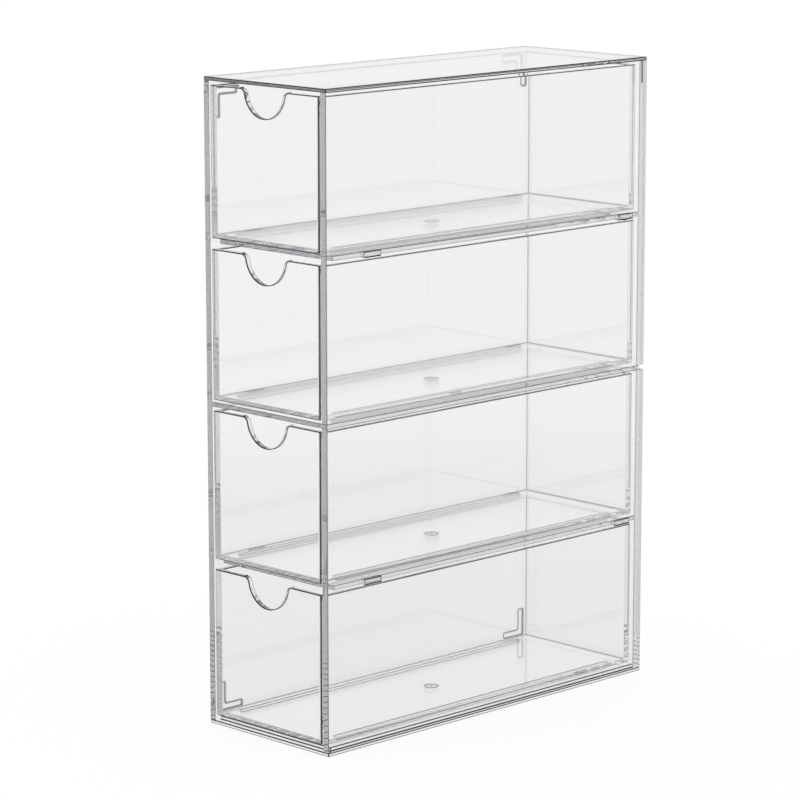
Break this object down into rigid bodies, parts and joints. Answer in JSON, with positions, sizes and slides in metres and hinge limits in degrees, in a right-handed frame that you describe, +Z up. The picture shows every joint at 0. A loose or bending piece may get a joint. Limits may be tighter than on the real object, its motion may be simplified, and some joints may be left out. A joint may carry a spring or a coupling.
{
  "type": "desktop drawer organizer",
  "caption": "Slim clear acrylic tower with stacked pull-out drawers, each with a half-round finger notch, for glasses, make-up or jewellery.",
  "frame": {"origin": "centre of the footprint on the table, under the case", "axes": "+Z up; the drawers pull out along -Y; the panel with the stacking feet faces -X"},
  "size_m": [0.067, 0.175, 0.25],
  "materials": {
    "case_acrylic": "clear colourless acrylic sheet with polished edges",
    "drawer_acrylic": "clear colourless moulded acrylic, high gloss"
  },
  "bodies": {
    "case": {"left_panel": "case_acrylic", "right_lower_panel": "case_acrylic", "right_upper_panel": "case_acrylic", "back_panel": "case_acrylic", "base_panel": "case_acrylic", "top_panel": "case_acrylic", "lower_shelf": "case_acrylic", "middle_shelf": "case_acrylic", "upper_shelf": "case_acrylic"},
    "bottom_drawer": {"bottom_drawer": "drawer_acrylic"},
    "lower_drawer": {"lower_drawer": "drawer_acrylic"},
    "upper_drawer": {"upper_drawer": "drawer_acrylic"},
    "top_drawer": {"top_drawer": "drawer_acrylic"}
  },
  "joints": [
    {"name": "bottom_drawer_slide", "type": "slide", "parent": "case", "child": "bottom_drawer", "axis": [0, -1, 0], "range_m": [0, 0.14]},
    {"name": "lower_drawer_slide", "type": "slide", "parent": "case", "child": "lower_drawer", "axis": [0, -1, 0], "range_m": [0, 0.14]},
    {"name": "upper_drawer_slide", "type": "slide", "parent": "case", "child": "upper_drawer", "axis": [0, -1, 0], "range_m": [0, 0.14]},
    {"name": "top_drawer_slide", "type": "slide", "parent": "case", "child": "top_drawer", "axis": [0, -1, 0], "range_m": [0, 0.14]}
  ]
}
